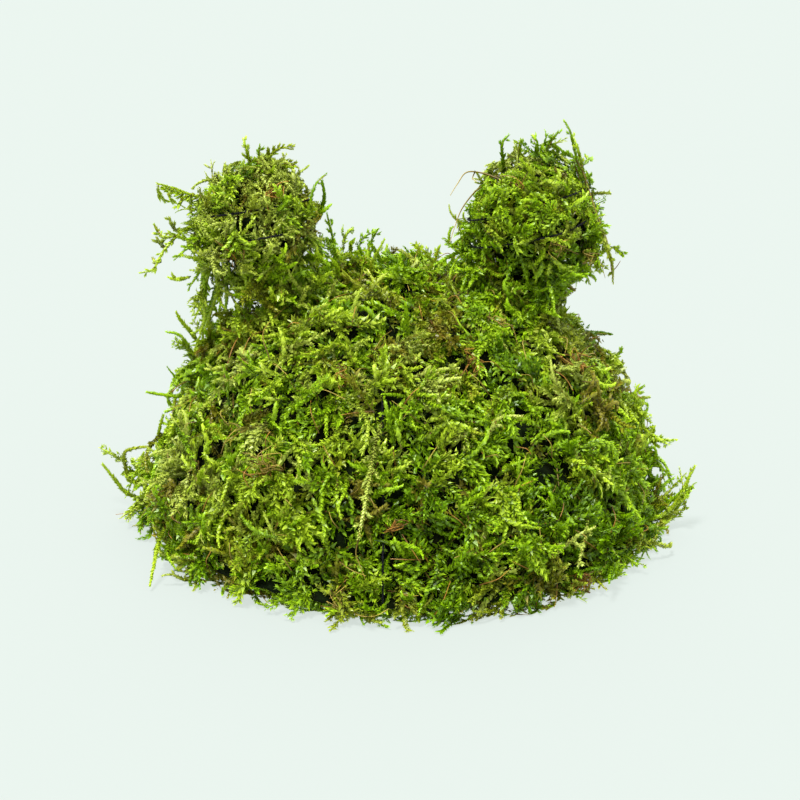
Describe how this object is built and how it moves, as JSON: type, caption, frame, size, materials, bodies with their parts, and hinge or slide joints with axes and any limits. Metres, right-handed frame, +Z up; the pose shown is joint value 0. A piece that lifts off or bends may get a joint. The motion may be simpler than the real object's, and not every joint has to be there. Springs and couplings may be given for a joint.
{
  "type": "moss clump",
  "caption": "Clump of living feather moss: a low dome with two small moss balls on short necks at its shoulders, tied with thread on a thin dark round base.",
  "frame": {"origin": "centre of the base disc's flat underside, on the surface that it stands on", "axes": "+Z up; -Y towards the side that the picture shows; +X to the right in the picture, from the smaller moss ball to the larger one"},
  "size_m": [0.1307, 0.1229, 0.0958],
  "materials": {
    "moss": "matte",
    "base": "matte",
    "thread": "matte"
  },
  "bodies": {
    "root": {"moss_dome": "moss", "moss_ball_left": "moss", "moss_ball_right": "moss", "base_disc": "base", "thread_dome": "thread", "thread_ball_left": "thread", "thread_ball_right": "thread"}
  },
  "joints": []
}
